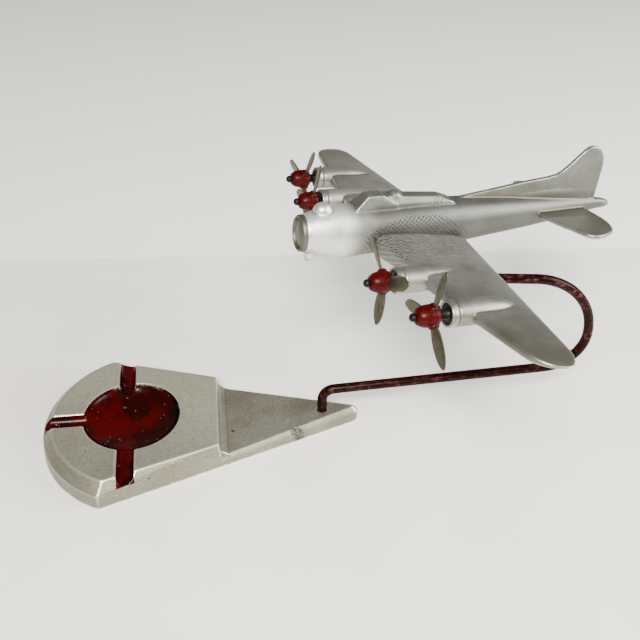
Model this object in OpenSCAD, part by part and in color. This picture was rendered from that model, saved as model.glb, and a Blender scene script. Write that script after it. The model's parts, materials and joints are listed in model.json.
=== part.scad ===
// Desk ashtray with a four-engined propeller aeroplane held over it on a bent rod.
// Millimetres, +Z up. The origin is on the underside, straight below the centre of the ash bowl.
// +X runs from the bowl to the narrow end of the base. The aeroplane is drawn in its own axes:
// x aft from the nose, y to starboard, z up, and airframe() sets it on the rod.

/* [Base casting] */
// Radius of the curved front edge
front_arc_r = 69.5; // [66:0.5:90]
// Distance from the bowl's centre to the front edge
bowl_to_front = 57; // [50:1:70]
// Half the width at the two corners, where the straight sides begin
corner_half_w = 62.4; // [54:0.2:65]
// Distance from the bowl's centre to the narrow end
bowl_to_tip = 148; // [140:1:180]
// Radius that rounds the narrow end
tip_r = 4; // [3:0.5:6]
// Distance from the bowl's centre to the foot of the step between the thick and the thin part
bowl_to_step = 57.2; // [48:0.1:70]
// How far the step leans back from its foot to its top
step_lean = 2.2; // [1:0.1:4]
// Height of the thick part
thick_top = 17; // [15:0.5:24]
// Height of the thin part
tail_top = 11.5; // [10.5:0.5:14]
// Height of the thin part's top at the foot of the step
foot_top = 6.6; // [5:0.1:10]
// Height of the upright side wall below the thick part's bevel
thick_wall = 10; // [7:0.5:12]
// Height of the upright side wall below the thin part's bevel
tail_wall = 8.5; // [4:0.5:9.5]
// Draft of the side walls, from the underside to the bevel
wall_draft = 0.7; // [0:0.1:1.5]
// Width of the bevel at the middle of the curved edge, seen from above
front_bevel = 7; // [4:0.1:9]
// Width of the bevel at the two corners, measured across the base
corner_bevel = 7.4; // [4:0.1:9]
// Width of the bevel where it meets the step
step_bevel = 3.2; // [2:0.1:6]
// Width of the thin part's bevel, seen from above
tail_bevel = 3; // [1.5:0.1:5]

/* [Ash bowl and cigarette rests] */
// Radius of the bowl at its rim
bowl_r = 30.7; // [24:0.1:36]
// Depth of the bowl below the top
bowl_depth = 11; // [8:0.5:13]
// Radius of the three round-bottomed rests
rest_r = 5.3; // [4.5:0.1:7]
// How far a rest's axis lies below the top
rest_sink = 0.3; // [0:0.1:2]
// How far the two side rests lie ahead of the bowl's centre
side_rest_ahead = 3.3; // [0:0.1:8]
// Turn of the side rests out of square, in degrees
side_rest_turn = 1.7; // [-4:0.1:4]
// How far the front rest lies to the port side of the bowl's centre
front_rest_aside = 1.3; // [0:0.1:4]

/* [Rod] */
// Diameter of the bent rod
rod_d = 6.35; // [5:0.05:8]
// Distance from the bowl's centre to the rod's hole
rod_foot_x = 124; // [115:1:128]
// Radius of the tight bends at both ends, on the rod's centreline
rod_bend_r = 8; // [7:0.5:12]
// Radius of the lower half of the big curve
loop_low_r = 26; // [20:1:34]
// Radius of the upper half of the big curve
loop_high_r = 46.7; // [36:0.1:56]
// Distance from the bowl's centre to the furthest point of the rod's centreline
loop_reach = 297.8; // [270:0.1:330]
// Height of the widest point of the big curve
loop_mid_z = 59.8; // [56:0.1:75]
// Rise of the lower run, in degrees
low_run_rise = 2.6; // [0:0.1:6]
// Rise of the upper run, in degrees
high_run_rise = 5; // [2:0.5:8]
// Distance from the bowl's centre to the rod's upper end
rod_top_x = 173.3; // [160:0.1:190]
// Straight length between the upper bend and the belly
rod_neck = 14.2; // [8:0.1:20]
// Depth of the rod in the belly
rod_socket = 9; // [6:0.5:12]
// Radial clearance of the rod in the base and in the belly
rod_gap = 0.08; // [0.02:0.01:0.2]

/* [Nut and washer under the base] */
// Width of the nut across its flats
nut_flats = 11.1; // [9:0.1:13]
// Thickness of the nut
nut_t = 4.8; // [3:0.1:5.2]
// Diameter of the washer
washer_d = 13.4; // [12:0.1:16]
// Thickness of the washer
washer_t = 1; // [0.6:0.1:1.6]
// Clearance round the washer in its counterbore
counterbore_gap = 0.5; // [0.3:0.1:1.5]
// How far the rod's end and the nut stay above the underside
nut_clear = 0.8; // [0.4:0.1:1.2]

/* [Aeroplane on the rod] */
// Turn of the aeroplane away from the base's centreline, in degrees
heading = 12.9; // [-20:0.1:20]
// Nose-up angle, in degrees
nose_up = 6.7; // [0:0.1:10]
// Bank, in degrees
bank = -5.4; // [-8:0.1:8]
// Distance from the nose to the rod
perch_x = 71.2; // [62:0.1:80]

/* [Fuselage casting] */
// Length from the nose to the end of the tail
body_len = 207; // [190:1:240]
// Greatest width of the body
body_w = 27.2; // [25:0.1:34]
// Greatest height of the body, without its deck
body_h = 29.6; // [27:0.1:36]
// Height of the spine's flat top above the body's axis
deck_z = 17.5; // [16.5:0.1:22]
// Height of the cockpit's roof above the body's axis
roof_z = 19.5; // [18:0.1:24]
// Height of the fin's top above the body's axis
fin_z = 42.7; // [36:0.1:50]
// Thickness of the fin
fin_t = 3.2; // [2:0.1:5]
// Half the span of the tailplane
tailplane_half = 44.5; // [36:0.5:54]
// Thickness of the tailplane
tailplane_t = 2.8; // [2:0.1:4]

/* [Wings] */
// Half the wing span
half_span = 146; // [138:1:175]
// Leading edge at the centreline, aft of the nose
lead_x = 37.8; // [34:0.1:44]
// Sweep of the leading edge, in mm for each mm of span
lead_sweep = 0.19; // [0.12:0.01:0.25]
// Trailing edge at the centreline, aft of the nose
trail_x = 100.2; // [92:0.1:110]
// Forward sweep of the trailing edge, in mm for each mm of span
trail_sweep = 0.095; // [0.05:0.005:0.12]
// Height of the wings' chord plane
wing_z = -7; // [-9:0.1:-5]
// Thickness at the root
root_t = 12.5; // [9:0.1:14]
// Thickness at the tip
tip_t = 2.8; // [2:0.1:5]
// Distance from the centreline to the wing's root inside the body
root_y = 9; // [8:0.1:10]
// Clearance of the root in its pocket
root_gap = 0.1; // [0.05:0.05:0.3]

/* [Engines] */
// Distance of the inner engines from the centreline
inner_y = 53.9; // [50:0.1:58]
// Distance of the outer engines from the centreline
outer_y = 91; // [88:0.1:100]
// Propeller plane of the inner engines, aft of the nose
inner_x = 29; // [27:0.1:31]
// Propeller plane of the outer engines, aft of the nose
outer_x = 36.9; // [36:0.1:39]
// Height of the engines' axes above the body's axis
engine_z = -6.6; // [-9:0.1:-4]
// Diameter of the nacelles and the cowl rings
nacelle_d = 13.8; // [12:0.1:16]
// Distance from an inner propeller's plane to its cowl ring's front edge
inner_cowl_x = 4.8; // [4.5:0.1:6]
// Distance from an outer propeller's plane to its cowl ring's front edge
outer_cowl_x = 8; // [4.5:0.1:9]
// Length of the cowl ring
cowl_len = 3.6; // [2.5:0.1:5]
// Width of the groove behind the cowl ring
groove_w = 0.8; // [0.4:0.1:1.5]
// Wall of the cowl ring
cowl_wall = 1.3; // [0.8:0.1:2]
// Length of the nacelle behind the groove
nacelle_len = 34; // [28:1:40]

/* [Propellers] */
// Radius of the propellers
prop_r = 27.2; // [24:0.1:28]
// Greatest width of a blade
blade_w = 8.2; // [5:0.1:8.6]
// Thickness of a blade
blade_t = 1.5; // [0.8:0.1:2]
// Pitch of a blade from the propeller's plane, in degrees
blade_pitch = 12; // [5:1:45]
// Greatest diameter of the hub
hub_d = 11.6; // [10:0.1:12.6]
// Length of the hub ahead of the propeller plane
hub_nose = 8.7; // [8:0.1:11]
// Length of the hub behind the propeller plane
hub_back = 3.6; // [3:0.1:4.2]
// Diameter of the pin that the hub turns on
pin_d = 3; // [2.4:0.1:3.4]
// Radial clearance of the hub on its pin
pin_gap = 0.05; // [0.02:0.01:0.08]
// Diameter of the pin's round head
pin_head_d = 4.4; // [4:0.1:6]
// Length of the pin's round head
pin_head_len = 3; // [2:0.1:4]
// End play of the hub between the pin's head and the engine's boss
end_play = 0.3; // [0.2:0.05:0.6]

/* [Hidden] */

cast_grey = [0.74, 0.73, 0.69];
turned_grey = [0.82, 0.82, 0.8];
rod_red = [0.33, 0.07, 0.06];
hub_red = [0.62, 0.05, 0.05];
engine_black = [0.07, 0.07, 0.07];
steel = [0.6, 0.6, 0.6];

eps = 0.01;
round_fn = 64;

// Each engine is [side, distance from the centreline, propeller plane, turn of its first blade,
// distance from the propeller plane to the cowl ring].
port_inner = [-1, inner_y, inner_x, 36, inner_cowl_x];
port_outer = [-1, outer_y, outer_x, 104, outer_cowl_x];
starboard_inner = [1, inner_y, inner_x, 109, inner_cowl_x];
starboard_outer = [1, outer_y, outer_x, 4, outer_cowl_x];

arc_centre_x = front_arc_r - bowl_to_front;
corner_x = arc_centre_x - sqrt(front_arc_r * front_arc_r - corner_half_w * corner_half_w);

counterbore_h = nut_clear + nut_t + washer_t;
rod_r = rod_d / 2;

// The lower run is tangent to the tight bend at its foot and to the big curve.
loop_low_x = loop_reach - loop_low_r;
loop_high_x = loop_reach - loop_high_r;
low_end = [loop_low_x + loop_low_r * sin(low_run_rise), loop_mid_z - loop_low_r * cos(low_run_rise)];
foot_bend_x = rod_foot_x + rod_bend_r;
low_start_x = foot_bend_x - rod_bend_r * sin(low_run_rise);
low_start_z = low_end[1] - (low_end[0] - low_start_x) * tan(low_run_rise);
foot_bend_z = low_start_z - rod_bend_r * cos(low_run_rise);

// The upper run is tangent to the big curve and to the tight bend below the belly.
high_start = [loop_high_x + loop_high_r * sin(high_run_rise),
              loop_mid_z + loop_high_r * cos(high_run_rise)];
top_bend_x = rod_top_x + rod_bend_r;
high_end_x = top_bend_x - rod_bend_r * sin(high_run_rise);
high_end_z = high_start[1] + (high_start[0] - high_end_x) * tan(high_run_rise);
top_bend_z = high_end_z + rod_bend_r * cos(high_run_rise);
belly_z = top_bend_z + rod_neck;

// Body stations: share of the length, share of the width, share of the height, height of the centre.
BODY = [[0, 0.34, 0.32, -2], [0.006, 0.6, 0.58, -2], [0.013, 0.72, 0.7, -1.9], [0.03, 0.76, 0.76, -1.9],
        [0.06, 0.85, 0.9, -2.3], [0.12, 0.955, 1.04, -2.5], [0.19, 0.99, 1, -1.6], [0.29, 1, 0.985, -0.8],
        [0.385, 0.97, 0.97, 0], [0.48, 0.897, 0.92, 0.7], [0.6, 0.75, 0.784, 1.8],
        [0.725, 0.573, 0.62, 2.8], [0.845, 0.38, 0.446, 4.1], [0.94, 0.235, 0.27, 5.4],
        [0.98, 0.17, 0.19, 5.2], [1, 0.06, 0.07, 4.6]];
body_sides = 28;
perch_drop = body_h / 2 + 0.2;

cowl_r = nacelle_d / 2;
spigot_r = cowl_r - cowl_wall;
face_recess = 0.5;
face_t = 0.9;
function spigot_at(engine) = engine[4] + face_recess + face_t;
function nacelle_at(engine) = engine[4] + cowl_len + groove_w;
pin_seat = 10;
hub_bore_r = pin_d / 2 + pin_gap;
pin_seat_r = pin_d / 2 + pin_gap / 2;

// The aeroplane's own axes, set on the rod's upper end.
module airframe()
    translate([rod_top_x, 0, belly_z])
        rotate([bank, nose_up, heading])
            translate([-perch_x, 0, perch_drop])
                children();

// An engine's axes: x aft from the propeller plane, along the engine's axis.
module at_engine(engine)
    airframe()
        translate([engine[2], engine[0] * engine[1], engine_z])
            children();

// Turns a profile of [radius, distance along x] round the x axis.
module turned(points)
    rotate([0, 90, 0])
        rotate_extrude($fn = round_fn)
            polygon(points);

// A closed skin through rings of points; the first and last rings are its ends.
module skin(rings) {
    n = len(rings[0]);
    m = len(rings);
    polyhedron(
        points = [for (ring = rings) each ring],
        faces = concat(
            [[for (i = [0 : n - 1]) i]],
            [for (k = [0 : m - 2]) for (i = [0 : n - 1])
                each [[k * n + i, (k + 1) * n + i, (k + 1) * n + (i + 1) % n],
                      [k * n + i, (k + 1) * n + (i + 1) % n, k * n + (i + 1) % n]]],
            [[for (i = [n - 1 : -1 : 0]) (m - 1) * n + i]]));
}

// ---- Base ----

// A front edge of the given radius, from its apex back to two corners, and straight sides from the
// corners to a given half width further back.
module wedge(r, apex_x, corner_half, back_x, back_half) {
    centre_x = apex_x + r;
    back_to_corner = centre_x - sqrt(r * r - corner_half * corner_half);
    hull() {
        intersection() {
            translate([centre_x, 0])
                circle(r, $fn = 120);
            translate([apex_x - 1, -corner_half])
                square([back_to_corner - apex_x + 1, 2 * corner_half]);
        }
        translate([back_x - 1, -back_half])
            square([1, 2 * back_half]);
    }
}

// Half the width of the base at a distance from the bowl's centre, past the corners.
function half_w(x) = corner_half_w - (corner_half_w - tip_r) * (x - corner_x) / (bowl_to_tip - tip_r - corner_x);

module thick_part()
    hull() {
        linear_extrude(eps)
            wedge(front_arc_r, -bowl_to_front, corner_half_w, bowl_to_step, half_w(bowl_to_step));
        linear_extrude(thick_wall)
            wedge(front_arc_r - wall_draft, wall_draft - bowl_to_front, corner_half_w - wall_draft,
                  bowl_to_step - step_lean / 2, half_w(bowl_to_step) - wall_draft);
        linear_extrude(thick_top)
            wedge(front_arc_r - front_bevel - 2, front_bevel - bowl_to_front, corner_half_w - corner_bevel,
                  bowl_to_step - step_lean, half_w(bowl_to_step) - step_bevel);
    }

// The thin part seen from above, drawn in by an inset.
module tail_outline(inset)
    hull() {
        translate([bowl_to_step - 6, inset - half_w(bowl_to_step - 6)])
            square([1, 2 * (half_w(bowl_to_step - 6) - inset)]);
        translate([bowl_to_tip - tip_r, 0])
            circle(max(0.5, tip_r - inset), $fn = 32);
    }

// A thin sheet at the given height at the tip, falling towards the step.
module falling(top) {
    slope = (tail_top - foot_top) / (bowl_to_tip - bowl_to_step);
    multmatrix([[1, 0, 0, 0], [0, 1, 0, 0], [slope, 0, 1, top - eps - slope * bowl_to_tip]])
        linear_extrude(eps)
            children();
}

module tail_part()
    hull() {
        linear_extrude(eps)
            tail_outline(0);
        falling(tail_wall)
            tail_outline(wall_draft / 2);
        falling(tail_top)
            tail_outline(tail_bevel);
    }

module ash_bowl() {
    steps = 14;
    translate([0, 0, thick_top])
        rotate_extrude($fn = 96)
            polygon(concat(
                [[0, 1], [bowl_r, 1]],
                [for (i = [0 : steps]) [bowl_r * cos(90 * i / steps), -bowl_depth * sin(90 * i / steps)]]));
}

module cigarette_rest(x, y, angle)
    translate([x, y, thick_top - rest_sink])
        rotate([0, 90, angle])
            cylinder(r = rest_r, h = front_arc_r + corner_half_w, $fn = 48);

module base_casting()
    color(cast_grey)
        difference() {
            union() {
                thick_part();
                tail_part();
            }
            ash_bowl();
            cigarette_rest(0, -front_rest_aside, 180);
            for (angle = [90, 270])
                cigarette_rest(-side_rest_ahead, 0, angle + side_rest_turn);
            translate([rod_foot_x, 0, -1])
                cylinder(r = rod_r + rod_gap, h = tail_top + 2, $fn = round_fn);
            translate([rod_foot_x, 0, -1])
                cylinder(r = washer_d / 2 + counterbore_gap, h = counterbore_h + 1, $fn = round_fn);
        }

module base_washer()
    color(steel)
        translate([rod_foot_x, 0, counterbore_h - washer_t])
            difference() {
                cylinder(d = washer_d, h = washer_t, $fn = round_fn);
                translate([0, 0, -1])
                    cylinder(r = rod_r + 2 * rod_gap, h = washer_t + 2, $fn = round_fn);
            }

module base_nut()
    color(steel)
        translate([rod_foot_x, 0, nut_clear])
            difference() {
                cylinder(d = nut_flats / cos(30), h = nut_t, $fn = 6);
                translate([0, 0, -1])
                    cylinder(r = rod_r + rod_gap / 2, h = nut_t + 2, $fn = round_fn);
            }

// ---- Rod ----

rod_sides = 20;

// Points on a bend in the plane y = 0, each with its distance from the bend's centre along [x, z].
function bend(centre_x, centre_z, r, from_angle, to_angle, steps) = [
    for (i = [0 : steps])
        let (angle = from_angle + (to_angle - from_angle) * i / steps)
        [centre_x + r * cos(angle), centre_z + r * sin(angle), angle + (to_angle < from_angle ? -90 : 90)]];

// The rod's centreline as [x, z, direction of travel in degrees].
rod_line = concat(
    [[rod_foot_x, nut_clear, 90]],
    bend(foot_bend_x, foot_bend_z, rod_bend_r, 180, 90 + low_run_rise, 8),
    bend(loop_low_x, loop_mid_z, loop_low_r, low_run_rise - 90, 0, 10),
    [for (i = [1 : 12])
        let (angle = (90 - high_run_rise) * i / 12)
        [loop_high_x + loop_high_r * cos(angle), loop_mid_z + loop_high_r * sin(angle), angle + 90]],
    bend(top_bend_x, top_bend_z, rod_bend_r, 270 - high_run_rise, 180, 8),
    [[rod_top_x, belly_z + rod_socket, 90]]);

function rod_ring(p) = [
    for (i = [0 : rod_sides - 1])
        let (out = rod_r * cos(360 * i / rod_sides))
        [p[0] + out * sin(p[2]), rod_r * sin(360 * i / rod_sides), p[1] - out * cos(p[2])]];

module stand_rod()
    color(rod_red)
        skin([for (p = rod_line) rod_ring(p)]);

// ---- Aeroplane ----

function body_ring(station) = [
    for (i = [0 : body_sides - 1])
        [station[0] * body_len,
         station[1] * body_w / 2 * cos(360 * i / body_sides),
         station[3] + station[2] * body_h / 2 * sin(360 * i / body_sides)]];

// Outline of the wing: leading and trailing edges, closed round the tip by an ellipse.
tip_len = 13;
function tip_share(y) = y < half_span - tip_len ? 1
    : sqrt(max(0.0004, 1 - pow((y - half_span + tip_len) / tip_len, 2)));
function lead_at(y) = lead_x + lead_sweep * y;
function trail_at(y) = trail_x - trail_sweep * y;
function mid_at(y) = 0.38 * lead_at(y) + 0.62 * trail_at(y);
function nose_at(y) = mid_at(y) + (lead_at(y) - mid_at(y)) * tip_share(y);
function tail_at(y) = mid_at(y) + (trail_at(y) - mid_at(y)) * tip_share(y);
root_flat = body_w / 2 + 1;
function thick_at(y) = tip_share(y)
    * (root_t - (root_t - tip_t) * pow(max(0, y - root_flat) / (half_span - root_flat), 0.6));

// Aerofoil from front to back, then back along the belly: [x, z] about the chord plane.
wing_sides = 12;
function aerofoil(front, back, t) = concat(
    [for (i = [0 : wing_sides - 1])
        [front + (back - front) * (1 - cos(180 * i / wing_sides)) / 2,
         0.64 * t * pow(sin(180 * sqrt(i / wing_sides)), 0.8)]],
    [for (i = [wing_sides : -1 : 1])
        [front + (back - front) * (1 - cos(180 * i / wing_sides)) / 2,
         -0.36 * t * pow(sin(180 * sqrt(i / wing_sides)), 0.8) - 0.2]]);

function wing_ring(side, y) =
    let (shape_y = max(y, root_flat))
    [for (p = aerofoil(nose_at(shape_y), tail_at(shape_y), thick_at(shape_y)))
        [p[0], side * y, wing_z + p[1]]];
wing_stations = concat(
    [root_y, root_flat],
    [for (i = [1 : 14]) root_flat + (half_span - tip_len - root_flat) * i / 14],
    [for (i = [1 : 6]) half_span - tip_len + tip_len * sin(15 * i)]);

module wing_pocket(side)
    translate([0, side * (root_y - root_gap), wing_z])
        rotate([90, 0, 0])
            translate([0, 0, side > 0 ? -root_flat : 0])
                linear_extrude(root_flat)
                    polygon(aerofoil(nose_at(root_flat) - root_gap, tail_at(root_flat) + root_gap,
                                     thick_at(root_flat) + 2 * root_gap));

module deck() {
    body_top = body_h / 2 - 3.5;
    // Cockpit with its sloping windscreen.
    hull() {
        translate([29, -7, body_top - 3])
            cube([27, 14, 1]);
        translate([39, -4.2, roof_z - 1])
            cube([9, 8.4, 1]);
    }
    // Flat-topped spine behind it.
    hull() {
        translate([45, -7, body_top - 3])
            cube([53, 14, 1]);
        translate([50, -3.5, deck_z])
            cube([9, 7, 1]);
        translate([83, -3.5, deck_z - 1])
            cube([1, 7, 1]);
    }
    // Turret behind the cockpit, and the dome on the nose.
    translate([56, 0, roof_z - 3])
        sphere(4, $fn = 32);
    translate([13.3, 0, body_h / 2 - 3.3])
        sphere(4, $fn = 32);
    // Turret under the chin.
    translate([7.8, 0, -body_h / 2 - 3.8])
        cylinder(r1 = 2, r2 = 5.2, h = 8, $fn = 32);
}

module fin()
    rotate([90, 0, 0])
        translate([0, 0, -fin_t / 2])
            linear_extrude(fin_t)
                polygon([[90, 9], [93, 14], [111, 17.1], [138, 21.7], [161, 25.3], [166.5, 28],
                         [171, 32], [177, fin_z - 4.2], [181, fin_z - 1], [185.4, fin_z], [190, fin_z - 1.6],
                         [193.4, fin_z - 5.5], [194.7, fin_z - 12], [194.7, 23], [194.4, 5]]);

module tailplane()
    translate([0, 0, 3.4 - tailplane_t / 2])
        linear_extrude(tailplane_t)
            for (side = [-1, 1])
                scale([1, side])
                    polygon([[150, 0], [152.5, 8], [160.5, tailplane_half - 8], [163, tailplane_half - 2],
                             [167, tailplane_half], [175.5, tailplane_half - 2],
                             [182, tailplane_half - 6.4], [185.6, tailplane_half - 13], [187, 20],
                             [186, 8.5], [182, 0]]);

module fuselage()
    color(cast_grey)
        difference() {
            airframe()
                union() {
                    skin([for (station = BODY) body_ring(station)]);
                    deck();
                    fin();
                    tailplane();
                }
            airframe()
                for (side = [-1, 1])
                    wing_pocket(side);
            translate([rod_top_x, 0, belly_z - 10])
                cylinder(r = rod_r + rod_gap, h = rod_socket + 10 + end_play, $fn = round_fn);
        }

// The nacelle cast on the wing, with the spigot that carries the cowl ring.
module nacelle(engine) {
    steps = 10;
    start = nacelle_at(engine);
    full_len = 0.35 * nacelle_len;
    turned(concat(
        [[0, spigot_at(engine)], [spigot_r, spigot_at(engine)], [spigot_r, start], [cowl_r, start]],
        [for (i = [0 : steps])
            [cowl_r * sqrt(1 - 0.96 * pow(i / steps, 2)),
             start + full_len + (nacelle_len - full_len) * i / steps]],
        [[0, start + nacelle_len]]));
}

module wing(side, inner, outer)
    color(cast_grey)
        difference() {
            union() {
                airframe()
                    skin(side > 0
                        ? [for (y = wing_stations) wing_ring(side, y)]
                        : [for (i = [len(wing_stations) - 1 : -1 : 0]) wing_ring(side, wing_stations[i])]);
                for (engine = [inner, outer])
                    at_engine(engine)
                        nacelle(engine);
            }
            for (engine = [inner, outer])
                at_engine(engine)
                    translate([spigot_at(engine) - 1, 0, 0])
                        rotate([0, 90, 0])
                            cylinder(r = pin_seat_r, h = pin_seat + 1, $fn = round_fn);
        }

module port_wing() wing(-1, port_inner, port_outer);
module starboard_wing() wing(1, starboard_inner, starboard_outer);

// ---- Engine pieces ----

module cowl_ring(engine) {
    front = engine[4];
    color(turned_grey)
        at_engine(engine)
            turned([[spigot_r, front + 0.3], [spigot_r + 0.3, front], [cowl_r - 0.4, front],
                    [cowl_r, front + 0.4], [cowl_r, front + cowl_len], [spigot_r, front + cowl_len]]);
}

// A black disc in the cowl ring's mouth, with a boss that spaces the hub.
module engine_face(engine) {
    back = spigot_at(engine);
    boss_front = hub_back + end_play / 2;
    disc_r = spigot_r - 0.02;
    color(engine_black)
        at_engine(engine)
            turned([[pin_seat_r, boss_front], [2.6, boss_front], [3.2, back - face_t],
                    [disc_r, back - face_t], [disc_r, back], [pin_seat_r, back]]);
}

// The pin, from its round head ahead of the hub to its seat in the nacelle.
module prop_pin(engine) {
    head_r = pin_head_d / 2;
    head_x = -hub_nose - end_play / 2;
    end_x = spigot_at(engine) + pin_seat - 0.5;
    color(engine_black)
        at_engine(engine)
            turned(concat(
                [[0, end_x], [0, head_x - pin_head_len]],
                [for (i = [1 : 8])
                    [head_r * sin(15 * i), head_x - pin_head_len * (1 + 2 * cos(15 * i)) / 3]],
                [[pin_d / 2, head_x], [pin_d / 2, end_x]]));
}

boss_r = 2.7;
boss_len = 6.7;
shank_r = 1.1;
shank_in = 3.4;

// Egg-shaped hub with three root bosses and the pin's bore.
module hub(engine) {
    hub_r = hub_d / 2;
    nose_r = pin_head_d / 2 + 0.1;
    steps = 10;
    color(hub_red)
        at_engine(engine)
            rotate([engine[3], 0, 0])
                difference() {
                    union() {
                        turned(concat(
                            [[0, hub_back], [0, -hub_nose], [nose_r, -hub_nose]],
                            [for (i = [1 : steps])
                                [nose_r + (hub_r - nose_r) * sin(90 * i / steps),
                                 -hub_nose + (hub_nose - 1) * (1 - cos(90 * i / steps))]],
                            [[hub_r, 1], [hub_r - 0.8, hub_back - 0.7], [hub_r - 1.8, hub_back]]));
                        for (k = [0 : 2])
                            rotate([120 * k, 0, 0])
                                rotate([-90, 0, 0])
                                    cylinder(r1 = boss_r + 0.3, r2 = boss_r - 0.3, h = boss_len, $fn = 48);
                    }
                    translate([-hub_nose - 1, 0, 0])
                        rotate([0, 90, 0])
                            cylinder(r = hub_bore_r, h = hub_nose + hub_back + 2, $fn = round_fn);
                    for (k = [0 : 2])
                        rotate([120 * k, 0, 0])
                            rotate([-90, 0, 0])
                                translate([0, 0, shank_in])
                                    cylinder(r = shank_r + 0.03, h = boss_len, $fn = 32);
                }
}

// Blade stations: share of the free length, share of the greatest width.
BLADE = [[0, 0.66], [0.08, 0.76], [0.2, 0.88], [0.35, 0.98], [0.5, 1], [0.65, 0.95], [0.78, 0.82],
         [0.89, 0.6], [0.96, 0.36], [1, 0.12]];
blade_sides = 10;
function blade_ring(station) =
    let (r = boss_len + 0.1 + (prop_r - boss_len - 0.1) * station[0],
         w = blade_w / 2 * station[1],
         t = blade_t / 2 * (1 - 0.45 * station[0]),
         pitch = blade_pitch + 10 * (0.5 - station[0]))
    [for (i = [0 : blade_sides - 1])
        let (a = w * cos(360 * i / blade_sides), b = t * sin(360 * i / blade_sides))
        [a * sin(pitch) - b * cos(pitch), r, -a * cos(pitch) - b * sin(pitch)]];

module blade(engine, k)
    color(turned_grey)
        at_engine(engine)
            rotate([engine[3] + 120 * (k - 1), 0, 0])
                union() {
                    skin([for (station = BLADE) blade_ring(station)]);
                    rotate([-90, 0, 0])
                        translate([0, 0, shank_in + 0.1])
                            cylinder(r = shank_r, h = boss_len - shank_in + 1, $fn = 32);
                }

base_casting();
base_washer();
base_nut();
stand_rod();
fuselage();
port_wing();
starboard_wing();
cowl_ring(port_inner);  // port_inner_cowl_ring
cowl_ring(port_outer);  // port_outer_cowl_ring
cowl_ring(starboard_inner);  // starboard_inner_cowl_ring
cowl_ring(starboard_outer);  // starboard_outer_cowl_ring
engine_face(port_inner);  // port_inner_engine_face
engine_face(port_outer);  // port_outer_engine_face
engine_face(starboard_inner);  // starboard_inner_engine_face
engine_face(starboard_outer);  // starboard_outer_engine_face
prop_pin(port_inner);  // port_inner_pin
prop_pin(port_outer);  // port_outer_pin
prop_pin(starboard_inner);  // starboard_inner_pin
prop_pin(starboard_outer);  // starboard_outer_pin
hub(port_inner);  // port_inner_hub
hub(port_outer);  // port_outer_hub
hub(starboard_inner);  // starboard_inner_hub
hub(starboard_outer);  // starboard_outer_hub
blade(port_inner, 1);  // port_inner_blade_1
blade(port_inner, 2);  // port_inner_blade_2
blade(port_inner, 3);  // port_inner_blade_3
blade(port_outer, 1);  // port_outer_blade_1
blade(port_outer, 2);  // port_outer_blade_2
blade(port_outer, 3);  // port_outer_blade_3
blade(starboard_inner, 1);  // starboard_inner_blade_1
blade(starboard_inner, 2);  // starboard_inner_blade_2
blade(starboard_inner, 3);  // starboard_inner_blade_3
blade(starboard_outer, 1);  // starboard_outer_blade_1
blade(starboard_outer, 2);  // starboard_outer_blade_2
blade(starboard_outer, 3);  // starboard_outer_blade_3
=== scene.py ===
# %% [markdown]
# # A cast-aluminium aeroplane on a red rod, over a wedge-shaped ash tray
#
# The model is a desk ornament: a four-engined aeroplane cast in aluminium stands on a bent,
# red-enamelled rod, and the rod is bolted into a heavy cast base with an ash bowl and three
# cigarette rests. This lesson puts a detailed skin over the CAD frame, piece by piece.
#
# First the frame is loaded. It carries the CAD solids and the four propeller hinges. The shapes
# below repeat the CAD model's main sizes, and the hinges place the aeroplane.

# %% Load the frame
import json
from math import asin, cos, pi, radians, sin, sqrt, tan

import bmesh
import bpy
from mathutils import Euler, Matrix, Vector

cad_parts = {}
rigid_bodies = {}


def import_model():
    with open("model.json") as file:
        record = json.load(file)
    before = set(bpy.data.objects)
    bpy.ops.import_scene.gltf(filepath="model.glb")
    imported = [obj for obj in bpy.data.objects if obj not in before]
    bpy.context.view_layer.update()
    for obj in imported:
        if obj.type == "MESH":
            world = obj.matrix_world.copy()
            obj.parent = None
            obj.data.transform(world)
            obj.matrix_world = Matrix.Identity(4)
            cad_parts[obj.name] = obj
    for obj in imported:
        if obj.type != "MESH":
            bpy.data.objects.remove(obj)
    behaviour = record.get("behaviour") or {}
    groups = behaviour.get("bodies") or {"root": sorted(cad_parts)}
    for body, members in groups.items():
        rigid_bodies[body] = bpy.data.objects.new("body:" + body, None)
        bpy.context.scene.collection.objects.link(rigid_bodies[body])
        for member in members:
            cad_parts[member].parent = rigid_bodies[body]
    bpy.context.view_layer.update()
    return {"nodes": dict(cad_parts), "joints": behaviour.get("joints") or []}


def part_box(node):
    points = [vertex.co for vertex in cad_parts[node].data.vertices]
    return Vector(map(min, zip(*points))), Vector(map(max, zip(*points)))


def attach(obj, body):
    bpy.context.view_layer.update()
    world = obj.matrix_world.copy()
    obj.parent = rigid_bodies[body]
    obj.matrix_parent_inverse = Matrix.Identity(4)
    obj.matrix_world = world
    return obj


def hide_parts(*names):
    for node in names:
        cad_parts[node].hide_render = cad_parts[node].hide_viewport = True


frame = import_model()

MM = 0.001
STAND = "stand_and_aeroplane"

# %% [markdown]
# ## The aeroplane's own axes
#
# The aeroplane is turned, nose up and banked on its rod. It is far easier to model it level, with
# x running aft from the nose, y to starboard and z up, and to turn the finished piece with one
# matrix. The hinge of a propeller tells where that matrix has to put the engine, so the matrix
# follows the frame. The turn itself is the same three angles that the rod's socket has.

# %% The aeroplane's matrix
TURN = Euler((radians(-5.4), radians(6.7), radians(12.9)), "XYZ")
INNER_Y, OUTER_Y = 53.9, 91
INNER_X, OUTER_X = 29, 36.9
ENGINE_Z = -6.6
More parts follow.
